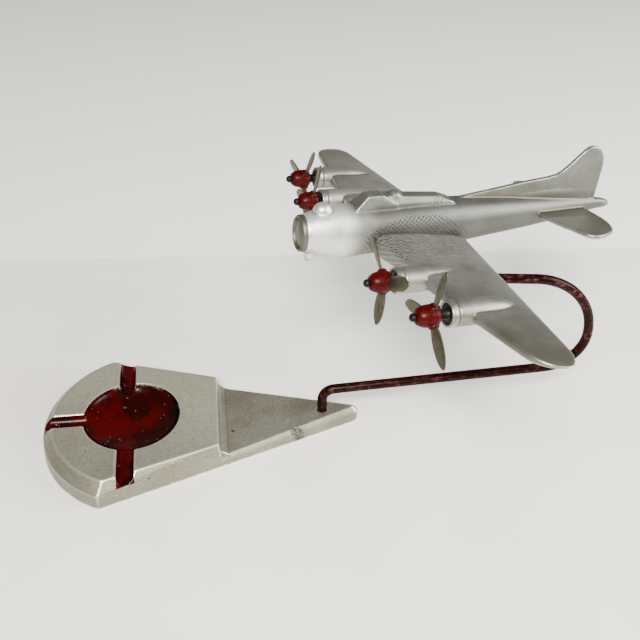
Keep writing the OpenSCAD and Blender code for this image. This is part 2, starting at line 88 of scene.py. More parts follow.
# Each engine: side, distance out, propeller plane, turn of the first blade, distance to the cowl.
ENGINES = {
    "port_inner": (-1, INNER_Y, INNER_X, 36, 4.8),
    "port_outer": (-1, OUTER_Y, OUTER_X, 104, 8),
    "starboard_inner": (1, INNER_Y, INNER_X, 109, 4.8),
    "starboard_outer": (1, OUTER_Y, OUTER_X, 4, 8),
}
hinges = {joint["name"]: Vector(joint["pos_m"]) for joint in frame["joints"]}


def engine_place(name):
    """Where an engine's propeller turns, in the level aeroplane's millimetres."""
    side, out, plane, _, _ = ENGINES[name]
    return Vector((plane, side * out, ENGINE_Z))


turn = TURN.to_matrix().to_4x4()
nose = hinges["port_inner_spin"] - turn @ (engine_place("port_inner") * MM)
AIR = Matrix.Translation(nose) @ turn @ Matrix.Scale(MM, 4)
STAND_SCALE = Matrix.Scale(MM, 4)
for name in ENGINES:
    miss = (AIR @ engine_place(name) - hinges[name + "_spin"]).length
    print(name, "hinge is met within", round(miss / MM, 3), "mm")

# %% [markdown]
# ## Helpers for mesh pieces
#
# Two operators make nearly every shape here. A turned piece is a profile that `spin` sweeps round
# an axis. A lofted piece, such as the body or a wing, is one ring of edges that is extruded again
# and again, with its points set on the next cross-section each time.

# %% Turned and lofted solids
SPIN_STEPS = 64


def turned(profile, matrix=Matrix.Identity(4), steps=SPIN_STEPS):
    """A solid of revolution about x, from (distance along x, radius) points."""
    bm = bmesh.new()
    line = [bm.verts.new((x, 0, r)) for x, r in profile]
    edges = [bm.edges.new(pair) for pair in zip(line, line[1:])]
    if profile[0][1] > 0:
        edges.append(bm.edges.new((line[-1], line[0])))
    bmesh.ops.spin(bm, geom=line + edges, cent=(0, 0, 0), axis=(1, 0, 0), angle=2 * pi,
                   steps=steps, use_merge=True)
    bmesh.ops.remove_doubles(bm, verts=bm.verts, dist=1e-5)
    bmesh.ops.recalc_face_normals(bm, faces=bm.faces)
    bmesh.ops.transform(bm, matrix=matrix, verts=bm.verts)
    return bm


def lofted(rings, matrix=Matrix.Identity(4)):
    """A closed skin through rings of points: one ring of edges, extruded from place to place."""
    bm = bmesh.new()
    loop = bmesh.ops.create_circle(bm, cap_ends=True, radius=1, segments=len(rings[0]))["verts"]
    for vert, place in zip(loop, rings[0]):
        vert.co = place
    for ring in rings[1:]:
        members = set(loop)
        edges = dict.fromkeys(e for v in loop for e in v.link_edges if e.other_vert(v) in members)
        grown = bmesh.ops.extrude_edge_only(bm, edges=list(edges))["geom"]
        twins = {v.co.to_tuple(): v for v in grown if isinstance(v, bmesh.types.BMVert)}
        loop = [twins[v.co.to_tuple()] for v in loop]
        for vert, place in zip(loop, ring):
            vert.co = place
    bmesh.ops.contextual_create(bm, geom=loop)
    bmesh.ops.recalc_face_normals(bm, faces=bm.faces)
    bmesh.ops.transform(bm, matrix=matrix, verts=bm.verts)
    return bm


def flowing(rows, count):
    """Rows of numbers joined by a smooth curve, with count rows between each two."""
    rows = [rows[0]] + list(rows) + [rows[-1]]
    out = []
    for a, b, c, d in zip(rows, rows[1:], rows[2:], rows[3:]):
        for step in range(count):
            t = step / count
            out.append([q + 0.5 * t * (r - p + t * (2 * p - 5 * q + 4 * r - s
                                                    + t * (3 * (q - r) + s - p)))
                        for p, q, r, s in zip(a, b, c, d)])
    return out + [list(rows[-1])]


disc = turned([(0, 0), (0, 5), (2, 5), (2, 0)])
print("a test disc has", len(disc.faces), "faces and",
      sum(not e.is_manifold for e in disc.edges), "open edges")
disc.free()

# %% Hulls, plates and lumps
def hulled(points, matrix=Matrix.Identity(4)):
    """The tight skin round a cloud of points."""
    bm = bmesh.new()
    verts = [bm.verts.new(p) for p in points]
    made = bmesh.ops.convex_hull(bm, input=verts)
    spare = [v for v in made["geom_interior"] if isinstance(v, bmesh.types.BMVert)]
    bmesh.ops.delete(bm, geom=spare, context="VERTS")
    bmesh.ops.recalc_face_normals(bm, faces=bm.faces)
    bmesh.ops.transform(bm, matrix=matrix, verts=bm.verts)
    return bm


def plate(outline, thick, round_off, matrix=Matrix.Identity(4)):
    """A flat plate in x and y with rounded rims, its middle at z = 0."""
    bm = bmesh.new()
    face = bm.faces.new([bm.verts.new((x, y, -thick / 2)) for x, y in outline])
    grown = bmesh.ops.extrude_face_region(bm, geom=[face])["geom"]
    top = [v for v in grown if isinstance(v, bmesh.types.BMVert)]
    bmesh.ops.translate(bm, vec=(0, 0, thick), verts=top)
    bmesh.ops.recalc_face_normals(bm, faces=bm.faces)
    rims = [e for e in bm.edges if abs(e.verts[0].co.z - e.verts[1].co.z) < 1e-6]
    bmesh.ops.bevel(bm, geom=rims, offset=round_off, segments=3, profile=0.5, affect="EDGES",
                    material=-1)
    bmesh.ops.transform(bm, matrix=matrix, verts=bm.verts)
    return bm


def ball(centre, size, matrix=Matrix.Identity(4)):
    """A round lump, stretched to the given half sizes."""
    bm = bmesh.new()
    bmesh.ops.create_uvsphere(bm, u_segments=32, v_segments=20, radius=1)
    bmesh.ops.scale(bm, vec=size, verts=bm.verts)
    bmesh.ops.translate(bm, vec=centre, verts=bm.verts)
    bmesh.ops.transform(bm, matrix=matrix, verts=bm.verts)
    return bm


print("helpers ready: hulled, plate, ball")

# %% [markdown]
# ## Fusing solids into a casting
#
# A sand casting has no sharp inside corners: wherever two shapes meet, the metal runs into a small
# fillet, and outer edges are a little soft. Boolean unions would leave knife edges everywhere. So
# the overlapping solids of one casting go into one mesh, a voxel Remesh modifier fuses them, and a
# few rounds of smoothing melt the edges the way sand does. The result is baked into plain mesh.

# %% Objects and castings
def shown(name, bm, smooth=True):
    """A finished bmesh as an object at the origin."""
    mesh = bpy.data.meshes.new(name)
    bm.to_mesh(mesh)
    bm.free()
    for face in mesh.polygons:
        face.use_smooth = smooth
    piece = bpy.data.objects.new(name, mesh)
    bpy.context.scene.collection.objects.link(piece)
    return piece


def settled(piece):
    """Bakes a piece's modifiers into its mesh."""
    depsgraph = bpy.context.evaluated_depsgraph_get()
    mesh = bpy.data.meshes.new_from_object(piece.evaluated_get(depsgraph))
    old = piece.data
    piece.modifiers.clear()
    piece.data = mesh
    bpy.data.meshes.remove(old)
    mesh.name = piece.name
    return piece


def casting(name, solids, grain, soften, cutters=()):
    """Fuses solids into one soft-edged skin. grain is the voxel size in millimetres."""
    whole = bmesh.new()
    for solid in solids:
        part = bpy.data.meshes.new("part")
        solid.to_mesh(part)
        solid.free()
        whole.from_mesh(part)
        bpy.data.meshes.remove(part)
    piece = shown(name, whole)
    tools = []
    for cutter in cutters:
        tool = shown("tool", cutter)
        cut = piece.modifiers.new("cut", "BOOLEAN")
        cut.operation, cut.solver, cut.use_self, cut.object = "DIFFERENCE", "EXACT", True, tool
        tools.append(tool)
    remesh = piece.modifiers.new("fuse", "REMESH")
    remesh.mode, remesh.voxel_size, remesh.use_smooth_shade = "VOXEL", grain * MM, True
    melt = piece.modifiers.new("melt", "SMOOTH")
    melt.factor, melt.iterations = 0.5, soften
    settled(piece)
    for tool in tools:
        bpy.data.meshes.remove(tool.data)
    print(name, "has", len(piece.data.polygons), "faces")
    return piece


pieces = {}
slots = {}


def keep(piece, body, slot, *nodes):
    """Rides a piece on its body and says what it stands for."""
    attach(piece, body)
    if nodes:
        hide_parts(*nodes)
    pieces[piece.name], slots[piece.name] = piece, slot
    return piece


# %% [markdown]
# ## The base casting
#
# The base is a wedge seen from above: a curved front edge, two corners, and straight sides that run
# to a blunt tip. Its front part is thick, with a broad bevel all round, and its rear part is thin
# and rises gently from the step to the tip. Each part is convex before the bowl is cut, so the hull
# of three outlines, one above the other, makes it with its draft and its bevel in one go.

# %% The thick front part
FRONT_R, FRONT_X, CORNER_HALF = 69.5, -57, 62.4
TIP_X, TIP_R = 148, 4
STEP_X, STEP_LEAN = 57.2, 2.2
THICK_TOP, THICK_WALL = 17, 10
CORNER_X = FRONT_X + FRONT_R - sqrt(FRONT_R**2 - CORNER_HALF**2)


def half_width(x):
    """Half the width of the base at a distance behind the bowl's centre."""
    return CORNER_HALF - (CORNER_HALF - TIP_R) * (x - CORNER_X) / (TIP_X - TIP_R - CORNER_X)


def wedge_level(radius, front, corner_half, back, back_half, z):
    """The points of one outline: the front arc, and the two ends of the straight sides."""
    reach = asin(corner_half / radius)
    arc = [(front + radius * (1 - cos(a)), radius * sin(a), z)
           for a in (reach * k / 40 for k in range(-40, 41))]
    return arc + [(back, back_half, z), (back, -back_half, z)]


thick_part = hulled(
    wedge_level(FRONT_R, FRONT_X, CORNER_HALF, STEP_X, half_width(STEP_X), 0)
    + wedge_level(FRONT_R - 0.7, FRONT_X + 0.7, CORNER_HALF - 0.7, STEP_X - STEP_LEAN / 2,
                  half_width(STEP_X) - 0.7, THICK_WALL)
    + wedge_level(FRONT_R - 9, FRONT_X + 7, CORNER_HALF - 7.4, STEP_X - STEP_LEAN,
                  half_width(STEP_X) - 3.2, THICK_TOP), STAND_SCALE)
print("thick part:", len(thick_part.verts), "points on its hull")

# %% The thin rear part
TAIL_TOP, FOOT_TOP, TAIL_WALL, TAIL_BEVEL = 11.5, 6.6, 8.5, 3
TAIL_FALL = (TAIL_TOP - FOOT_TOP) / (TIP_X - STEP_X)


def tail_level(inset, height, fall=TAIL_FALL):
    """One outline of the thin part, drawn in by inset and falling towards the step."""
    start = STEP_X - 6
    tip = max(0.6, TIP_R - inset)
    flat = [(start, side * (half_width(start) - inset)) for side in (-1, 1)]
    flat += [(TIP_X - TIP_R + tip * cos(a), tip * sin(a))
             for a in (radians(k) for k in range(-90, 91, 15))]
    return [(x, y, height - fall * (TIP_X - x)) for x, y in flat]


tail_part = hulled(tail_level(0, 0, 0) + tail_level(0.35, TAIL_WALL)
                   + tail_level(TAIL_BEVEL, TAIL_TOP), STAND_SCALE)
fillet_w = half_width(STEP_X) - TAIL_BEVEL - 0.4
step_fillet = hulled([(x, y, z) for y in (-fillet_w, fillet_w)
                      for x, z in ((STEP_X - 3, 10.2), (STEP_X - 0.6, 10.2), (STEP_X + 0.8, 8),
                                   (STEP_X + 3.6, 6.5), (STEP_X - 3, 5))], STAND_SCALE)
print("thin part:", len(tail_part.verts), "points on its hull")

# %% [markdown]
# The ash bowl is a shallow dish, so its cutter is a spun quarter of an ellipse. The three cigarette
# rests are straight round-bottomed grooves, cut by long cylinders that lie just below the top face.
# The two side rests are not quite square to the base: their pattern was a little askew.

# %% The bowl, the rests and the rod's hole
BOWL_R, BOWL_DEPTH = 30.7, 11
REST_R, REST_Z = 5.3, THICK_TOP - 0.3
REST_AHEAD, REST_TURN, REST_ASIDE = 3.3, 1.7, 1.3
ROD_FOOT_X, ROD_R = 124, 3.175
STEPS = 14
to_z = Matrix.Rotation(-pi / 2, 4, "Y")
dish = [(2, 0), (2, BOWL_R)] + [(-BOWL_DEPTH * sin(a), BOWL_R * cos(a))
                                for a in (pi / 2 * k / STEPS for k in range(STEPS))]
bowl_tool = turned(dish + [(-BOWL_DEPTH, 0)],
                   STAND_SCALE @ Matrix.Translation((0, 0, THICK_TOP)) @ to_z, 96)


def rest_tool(x, y, angle):
    """A long cylinder from the bowl's middle outwards."""
    place = Matrix.Translation((x, y, REST_Z)) @ Matrix.Rotation(radians(angle), 4, "Z")
    return turned([(0, 0), (0, REST_R), (80, REST_R), (80, 0)], STAND_SCALE @ place, 48)


rests = [rest_tool(0, -REST_ASIDE, 180), rest_tool(-REST_AHEAD, 0, 90 + REST_TURN),
         rest_tool(-REST_AHEAD, 0, 270 + REST_TURN)]
hole_tool = turned([(-2, 0), (-2, 7.2), (6.6, 7.2), (6.6, ROD_R + 0.05), (14, ROD_R + 0.05),
                    (14, 0)], STAND_SCALE @ Matrix.Translation((ROD_FOOT_X, 0, 0)) @ to_z)
BASE_GRAIN = 0.66
base = casting("ash_tray_base", [thick_part, tail_part, step_fillet], BASE_GRAIN, 3,
               [bowl_tool, *rests, hole_tool])
keep(base, STAND, "cast_base", "base_casting")

# %% [markdown]
# ## The rod
#
# One round bar is bent cold: up out of the base, back along the table, round a big open curve and
# forward again, and up into the belly. `spin` is made for bends. A disc of edges is extruded along
# each straight run and spun through each bend, with the bend's centre as the pivot.

# %% Bend the rod
LOW_RISE, HIGH_RISE = radians(2.6), radians(5)
BEND_R, LOW_R, HIGH_R = 8, 26, 46.7
LOOP_REACH, LOOP_Z = 297.8, 59.8
ROD_TOP_X, NECK, SOCKET = 173.3, 14.2, 8.8
low_x, high_x = LOOP_REACH - LOW_R, LOOP_REACH - HIGH_R
low_end = Vector((low_x + LOW_R * sin(LOW_RISE), 0, LOOP_Z - LOW_R * cos(LOW_RISE)))
foot_x = ROD_FOOT_X + BEND_R
foot_z = (low_end.z - (low_end.x - foot_x + BEND_R * sin(LOW_RISE)) * tan(LOW_RISE)
          - BEND_R * cos(LOW_RISE))
high_start = Vector((high_x + HIGH_R * sin(HIGH_RISE), 0, LOOP_Z + HIGH_R * cos(HIGH_RISE)))
top_x = ROD_TOP_X + BEND_R
top_z = (high_start.z + (high_start.x - top_x + BEND_R * sin(HIGH_RISE)) * tan(HIGH_RISE)
         + BEND_R * cos(HIGH_RISE))

rod = bmesh.new()
end = bmesh.ops.create_circle(rod, cap_ends=True, radius=ROD_R, segments=40)["verts"]
bmesh.ops.translate(rod, vec=(ROD_FOOT_X, 0, 1), verts=end)


def newest(made):
    return [g for g in made if isinstance(g, (bmesh.types.BMVert, bmesh.types.BMEdge))]


def ring_geometry(verts):
    members = set(verts)
    return list(verts) + list({e for v in verts for e in v.link_edges
                               if e.other_vert(v) in members})


def run_to(ring, place):
    """Extrudes the rod's end straight on until its middle is at place."""
    grown = newest(bmesh.ops.extrude_edge_only(
        rod, edges=[g for g in ring if isinstance(g, bmesh.types.BMEdge)])["geom"])
    verts = [g for g in grown if isinstance(g, bmesh.types.BMVert)]
    middle = sum((v.co for v in verts), Vector()) / len(verts)
    bmesh.ops.translate(rod, vec=Vector(place) - middle, verts=verts)
    return ring_geometry(verts)


def bend(ring, centre, angle, steps):
    """Spins the rod's end round a bend's centre."""
    made = bmesh.ops.spin(rod, geom=ring, cent=centre, axis=(0, 1, 0), angle=angle, steps=steps)
    return ring_geometry([g for g in made["geom_last"] if isinstance(g, bmesh.types.BMVert)])


ring = run_to(ring_geometry(end), (ROD_FOOT_X, 0, foot_z))
ring = bend(ring, (foot_x, 0, foot_z), pi / 2 - LOW_RISE, 14)
ring = run_to(ring, low_end)
ring = bend(ring, (low_x, 0, LOOP_Z), -(pi / 2 + LOW_RISE), 20)
ring = bend(ring, (high_x, 0, LOOP_Z), -(pi / 2 - HIGH_RISE), 24)
ring = run_to(ring, (top_x - BEND_R * sin(HIGH_RISE), 0, top_z - BEND_R * cos(HIGH_RISE)))
ring = bend(ring, (top_x, 0, top_z), pi / 2 - HIGH_RISE, 14)
ring = run_to(ring, (ROD_TOP_X, 0, top_z + NECK + SOCKET))
bmesh.ops.contextual_create(rod, geom=ring)
bmesh.ops.recalc_face_normals(rod, faces=rod.faces)
bmesh.ops.transform(rod, matrix=STAND_SCALE, verts=rod.verts)
keep(shown("bent_rod", rod), STAND, "rod_enamel", "stand_rod")
low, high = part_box("stand_rod")
print("rod ends", round((top_z + NECK + SOCKET) - high.z / MM, 2), "mm from the CAD rod's end")

# %% [markdown]
# ## The fuselage casting
#
# The body is a loft through oval sections, fuller under the nose and thin at the tail. On top of it
# stand the cockpit with its sloping windscreen, a flat spine, two small round turrets and the long
# fin. A pointed turret hangs under the chin. All of it is one casting, so it is fused in one go.

# %% The body's sections
BODY_LEN, BODY_HALF_W, BODY_HALF_H = 207, 13.6, 14.8
# Station, half width, half height, height of the middle: shares of the sizes above, then mm.
BODY = [(0.009, 0.6, 0.58, -2), (0.013, 0.7, 0.68, -1.9), (0.03, 0.76, 0.76, -1.9),
        (0.06, 0.85, 0.9, -2.3), (0.12, 0.955, 1.04, -2.5), (0.19, 0.99, 1, -1.6),
        (0.29, 1, 0.985, -0.8), (0.385, 0.97, 0.97, 0), (0.48, 0.897, 0.92, 0.7),
        (0.6, 0.75, 0.784, 1.8), (0.725, 0.573, 0.62, 2.8), (0.845, 0.38, 0.446, 4.1),
        (0.94, 0.235, 0.27, 5.4), (0.98, 0.17, 0.19, 5.2), (0.996, 0.1, 0.11, 4.8),
        (0.999, 0.04, 0.04, 4.7)]
SIDES = 56


def oval(station, wide, high, middle):
    """One section of the body, a closed oval across the x axis."""
    return [(station * BODY_LEN, wide * BODY_HALF_W * cos(2 * pi * k / SIDES),
             middle + high * BODY_HALF_H * sin(2 * pi * k / SIDES)) for k in range(SIDES)]


body = lofted([oval(*row) for row in flowing(BODY, 4)], AIR)
print("body:", len(body.faces), "faces")

# %% Cockpit, spine and turrets
cockpit = hulled([(29.5, -6.6, 8), (29.5, 6.6, 8), (56, -6.8, 8), (56, 6.8, 8),
                  (31, -6.3, 12), (31, 6.3, 12), (38.6, -4.4, 19.3), (38.6, 4.4, 19.3),
                  (48, -4.2, 19.5), (48, 4.2, 19.5), (56, -6.4, 14), (56, 6.4, 14)], AIR)
spine = hulled([(45, -6.7, 8), (45, 6.7, 8), (96, -6.4, 8), (96, 6.4, 8),
                (46, -6, 14.6), (46, 6, 14.6), (92, -5.6, 14.2), (92, 5.6, 14.2),
                (50, -3.6, 19), (50, 3.6, 19), (83.5, -3.4, 17.3), (83.5, 3.4, 17.3)], AIR)
top_turret = ball((56, 0, 17), (4.6, 4.6, 4), AIR)
nose_dome = ball((13.8, 0, 10.6), (5.4, 5, 4.9), AIR)
chin = lofted([[(7.8 + x + r * cos(2 * pi * k / 24), r * sin(2 * pi * k / 24), z)
                for k in range(24)]
               for x, r, z in ((0, 1.2, -19), (0.1, 2.1, -18.4), (0.8, 3.4, -16.6),
                               (1.6, 4.6, -14), (2, 5.2, -10.5))], AIR)
print("cockpit, spine and turrets ready")

# %% Fin and tailplane
FIN = [(90, 9), (93, 13.6), (97, 14.9), (111, 17.1), (138, 21.7), (157, 24.4), (163, 25.8),
       (166.5, 27.9), (171, 31.8), (175, 35.9), (179.4, 40.2), (182.4, 42.2), (185.4, 42.7),
       (188, 42.1), (190.6, 40.4), (193.6, 36.4), (194.9, 31), (194.8, 23.4), (194.4, 9.7),
       (193.8, 4)]
TAILPLANE = [(150, 0), (151, 13), (155.4, 25), (160.6, 37), (162, 40.6), (164.4, 43), (168.2, 43.9),
             (173, 42.8), (178, 40.6), (182, 38.2), (184.4, 35), (186.6, 30), (187.6, 25),
             (187.8, 18.7), (186.8, 7.5), (184, 0)]
stand_up = Matrix.Rotation(pi / 2, 4, "X")
fin = plate(FIN, 3, 0.9, AIR @ stand_up)
tailplanes = [plate([(x, side * y) for x, y in TAILPLANE][::side], 2.7, 0.9,
                    AIR @ Matrix.Translation((0, 0, 3.4))) for side in (1, -1)]
tail_fairing = lofted([[(x, w * cos(2 * pi * k / 24), z + h * sin(2 * pi * k / 24))
                        for k in range(24)]
                       for x, w, h, z in ((120, 1, 1, 14), (140, 2, 3.6, 13), (165, 2.4, 7, 12),
                                          (188, 2, 8, 10), (194, 1, 4, 8))], AIR)
FUSELAGE_GRAIN = 0.56
fuselage = casting("fuselage_casting", [body, cockpit, spine, top_turret, nose_dome, chin, fin,
                                        *tailplanes, tail_fairing], FUSELAGE_GRAIN, 4)
keep(fuselage, STAND, "cast_airframe", "fuselage")

# %% [markdown]
# The nose ends in a shallow glazed cap. On the real casting it is only a low dome inside a raised
# ring, too fine for the casting's grain, so it is turned on its own and pressed into the nose.

# %% The nose cap
NOSE_Z = -2
nose_cap = turned([(0.3, 0), (0.34, 2), (0.6, 4), (1.1, 6), (1.7, 7.3), (1.9, 7.7), (1.5, 7.95),
                   (0.75, 8.15), (0.4, 8.5), (0.38, 8.95), (0.7, 9.35), (1.4, 9.6), (2.6, 9.75),
                   (4.2, 9.6), (4.2, 0)],
                  AIR @ Matrix.Translation((0, 0, NOSE_Z)) @ Matrix.Diagonal((1, 1, 1.08, 1)), 96)
keep(shown("nose_cap", nose_cap), STAND, "cast_airframe")
print("nose cap is", round(9.75 * 2, 1), "mm across")

# %% [markdown]
# ## The wings
#
# A wing is lofted from root to tip through aerofoil sections. The real casting's edges are about a
# millimetre thick and rounded, so a small constant thickness is kept under every section. The two
# nacelles are turned solids that sink into the wing, and they are fused with it so that the metal
# flows from one to the other. Each has a spigot in front for its cowl ring.

# %% Aerofoil sections
HALF_SPAN, ROOT_Y, TIP_LEN, WING_Z = 146, 12.6, 13, -7
ROOT_T, TIP_T, EDGE_T = 12.5, 2.8, 0.5
ROUND = 22


def tip_share(y):
    if y < HALF_SPAN - TIP_LEN:
        return 1
    return sqrt(max(0.0004, 1 - ((y - HALF_SPAN + TIP_LEN) / TIP_LEN) ** 2))


def aerofoil(side, y):
    """One section of the wing at y: over the top to the trailing edge and back underneath."""
    lead, trail = 37.8 + 0.19 * max(y, 14.6), 100.2 - 0.095 * max(y, 14.6)
    middle = 0.38 * lead + 0.62 * trail
    share = tip_share(y)
    lead, trail = middle + (lead - middle) * share, middle + (trail - middle) * share
    thick = share * (ROOT_T - (ROOT_T - TIP_T) * (max(0, y - 14.6) / (HALF_SPAN - 14.6)) ** 0.6)
    points = []
    for k in range(2 * ROUND):
        across = (1 - cos(pi * k / ROUND)) / 2
        belly = k > ROUND
        bow = max(0, sin(pi * sqrt(k / ROUND if not belly else 2 - k / ROUND))) ** 0.8
        edge = EDGE_T * share * (1 - abs(2 * across - 1) ** 14) ** 0.5
        height = -0.36 * thick * bow - edge - 0.1 if belly else 0.64 * (thick - 0.6) * bow + edge
        points.append((lead + (trail - lead) * across, side * y, WING_Z + height))
    return points


stations = [ROOT_Y] + [14.6 + (HALF_SPAN - TIP_LEN - 14.6) * k / 20 for k in range(21)]
stations += [HALF_SPAN - TIP_LEN + TIP_LEN * sin(radians(7.5 * k)) for k in range(1, 13)]
print("each wing has", len(stations), "sections")

# %% Nacelles and wings
NACELLE_R, NACELLE_LEN, COWL_LEN, GROOVE, SPIGOT_R = 6.9, 34, 3.6, 0.8, 5.6
FACE_BACK = 1.4


def engine_matrix(name):
    return AIR @ Matrix.Translation(engine_place(name))


def nacelle(name):
    """The engine's body behind its cowl ring, tapering into the wing, with a spigot in front."""
    cowl = ENGINES[name][4]
    start = cowl + COWL_LEN + GROOVE
    full = 0.35 * NACELLE_LEN
    tail = [(start + full + (NACELLE_LEN - full) * k / 16,
             NACELLE_R * sqrt(1 - 0.985 * (k / 16) ** 2)) for k in range(17)]
    return turned([(cowl + FACE_BACK, 0), (cowl + FACE_BACK, SPIGOT_R), (start, SPIGOT_R),
                   (start, NACELLE_R - 0.5), (start + 0.6, NACELLE_R)] + tail
                  + [(start + NACELLE_LEN, 0)], engine_matrix(name))


for side, word in ((-1, "port"), (1, "starboard")):
    skin = lofted([aerofoil(side, y) for y in stations], AIR)
    wing = casting(word + "_wing_casting",
                   [skin, nacelle(word + "_inner"), nacelle(word + "_outer")], 0.48, 4)
    keep(wing, STAND, "cast_airframe", word + "_wing")

# %% [markdown]
# ## Engines
#
# Each engine has a turned cowl ring with a rounded lip, a black face sunk in its mouth, a red
# egg-shaped hub with a socket for each blade, and three blades of thin sheet aluminium. The hub is
# a dipped casting, so its parts are fused softly. The blades are lofted with a twist from a round
# shank to a broad, thin paddle.

# %% Cowl rings and engine faces
PIN_HOLE = 1.56


def cowl_ring(name):
    front = ENGINES[name][4]
    profile = [(front + COWL_LEN, SPIGOT_R), (front + 0.5, SPIGOT_R),
               (front + 0.14, SPIGOT_R + 0.16), (front, SPIGOT_R + 0.5),
               (front + 0.06, NACELLE_R - 0.4),
               (front + 0.3, NACELLE_R - 0.12), (front + 0.7, NACELLE_R),
               (front + COWL_LEN - 0.3, NACELLE_R), (front + COWL_LEN, NACELLE_R - 0.25)]
    return turned(profile, engine_matrix(name))


def engine_face(name):
    back = ENGINES[name][4] + FACE_BACK
    rim = SPIGOT_R - 0.05
    profile = [(back, PIN_HOLE), (3.8, PIN_HOLE), (3.8, 2.5), (back - 1.1, 3), (back - 0.8, 3.4),
               (back - 0.9, 4.1), (back - 0.6, 4.5), (back - 0.7, rim - 0.3), (back - 0.5, rim),
               (back, rim)]
    return turned(profile, engine_matrix(name))


for name in ENGINES:
    keep(shown(name + "_cowl", cowl_ring(name)), STAND, "turned_aluminium", name + "_cowl_ring")
    keep(shown(name + "_face", engine_face(name)), STAND, "black_enamel", name + "_engine_face")
print("cowl rings and faces:", len(ENGINES), "of each")

# %% Hubs
HUB_R, HUB_NOSE, HUB_BACK, HUB_TIP_R = 5.8, 8.7, 3.6, 2.3
SOCKET_LEN, PROP_R = 6.7, 27.2


def hub(name):
    """An egg with a bore for the pin and three sockets for the blades."""
    egg = [(HUB_BACK, PIN_HOLE), (-HUB_NOSE, PIN_HOLE), (-HUB_NOSE, HUB_TIP_R)]
    egg += [(-HUB_NOSE + (HUB_NOSE - 1) * (1 - cos(a)), HUB_TIP_R + (HUB_R - HUB_TIP_R) * sin(a))
            for a in (pi / 2 * k / 16 for k in range(1, 17))]
    egg += [(1, HUB_R), (HUB_BACK - 0.7, HUB_R - 0.8), (HUB_BACK, HUB_R - 1.8)]
    first = Matrix.Rotation(radians(ENGINES[name][3]), 4, "X")
    solids = [turned(egg, engine_matrix(name) @ first)]
    for k in range(3):
        out = Matrix.Rotation(radians(120 * k), 4, "X") @ Matrix.Rotation(pi / 2, 4, "Z")
        solids.append(turned([(2.6, 0), (2.6, 3), (SOCKET_LEN - 0.5, 2.7), (SOCKET_LEN, 2.2),
                              (SOCKET_LEN, 0)], engine_matrix(name) @ first @ out, 40))
    return solids


for name in ENGINES:
    keep(casting(name + "_red_hub", hub(name), 0.2, 3), name + "_propeller", "hub_enamel",
         name + "_hub")

# %% Blades
BLADE_W, BLADE_T, PITCH = 8.2, 1.5, 12
# Share of the free length, share of the width, share of the thickness.
BLADE = [(0, 0.66, 1.1), (0.08, 0.76, 1.05), (0.2, 0.88, 1), (0.35, 0.98, 0.95), (0.5, 1, 0.9),
         (0.65, 0.95, 0.85), (0.78, 0.82, 0.78), (0.89, 0.6, 0.7), (0.96, 0.36, 0.6),
         (0.99, 0.18, 0.5), (0.998, 0.06, 0.3)]
BLADE_SIDES = 20


def blade_section(share, wide, thick):
    """One twisted section of a blade that points along y."""
    reach = SOCKET_LEN + 0.1 + (PROP_R - SOCKET_LEN - 0.1) * share
    pitch = radians(PITCH + 10 * (0.5 - share))
    points = []
    for k in range(BLADE_SIDES):
        a = BLADE_W / 2 * wide * cos(2 * pi * k / BLADE_SIDES)
        b = BLADE_T / 2 * thick * sin(2 * pi * k / BLADE_SIDES)
        points.append((a * sin(pitch) - b * cos(pitch), reach, -a * cos(pitch) - b * sin(pitch)))
    return points


for name in ENGINES:
    for k in range(3):
        first = Matrix.Rotation(radians(ENGINES[name][3] + 120 * k), 4, "X")
        sections = [blade_section(*row) for row in flowing(BLADE, 3)]
        root = [Vector(p) for p in sections[0]]
        sections.insert(0, [(p.x * 0.8, SOCKET_LEN - 2, p.z * 0.8) for p in root])
        piece = shown(f"{name}_paddle_{k + 1}", lofted(sections, engine_matrix(name) @ first))
        keep(piece, name + "_propeller", "blade_aluminium", f"{name}_blade_{k + 1}")
print("blades:", 3 * len(ENGINES))

# %% [markdown]
# ## Arithmetic on shader sockets
#
# Every finish below is procedural. Node graphs written out one node at a time are hard to read, so
# one small class wraps a socket and lets Python's own operators add the Math nodes. Any other kind
# of node comes from its `node` method, which sets the node up first and then its sockets.

